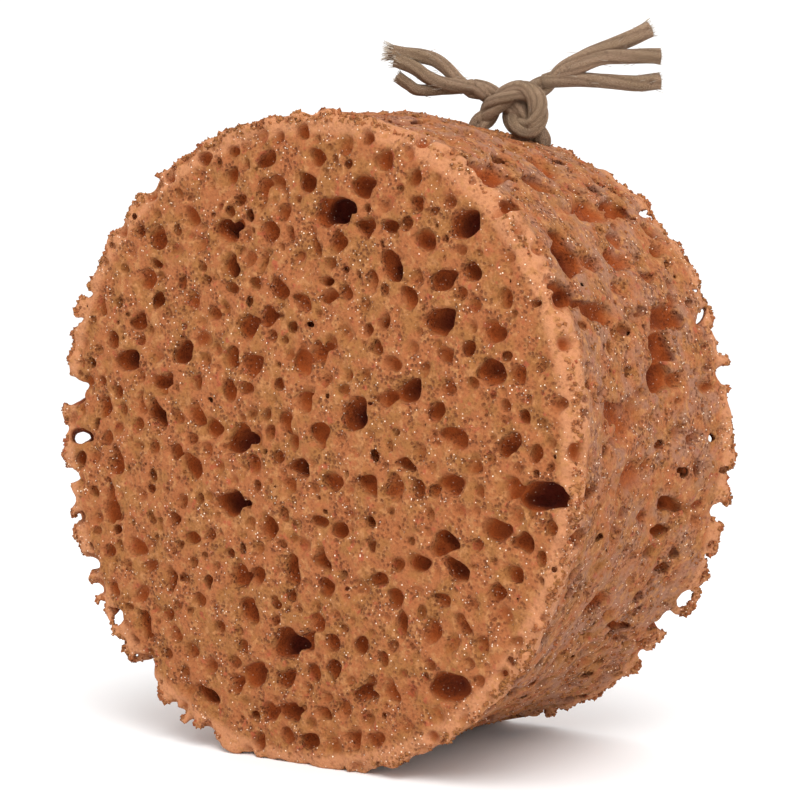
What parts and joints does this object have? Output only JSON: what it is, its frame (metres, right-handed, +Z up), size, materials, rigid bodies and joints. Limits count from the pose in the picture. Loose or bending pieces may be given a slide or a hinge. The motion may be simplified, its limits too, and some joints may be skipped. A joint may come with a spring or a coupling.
{
  "type": "round bath sponge",
  "caption": "Round orange-brown bath sponge of open-cell foam, standing on its rim, with a knotted jute twine.",
  "frame": {"origin": "on the surface that the sponge stands on, under the middle of the disc", "axes": "+Z up, the disc's axis along Y, its front face towards -Y, +X to the right seen from the front"},
  "size_m": [0.1313, 0.066, 0.1503],
  "materials": {
    "foam": "matte open-cell foam",
    "jute": "dry twisted fibre"
  },
  "bodies": {
    "root": {"sponge": "foam", "twine": "jute"}
  },
  "joints": []
}
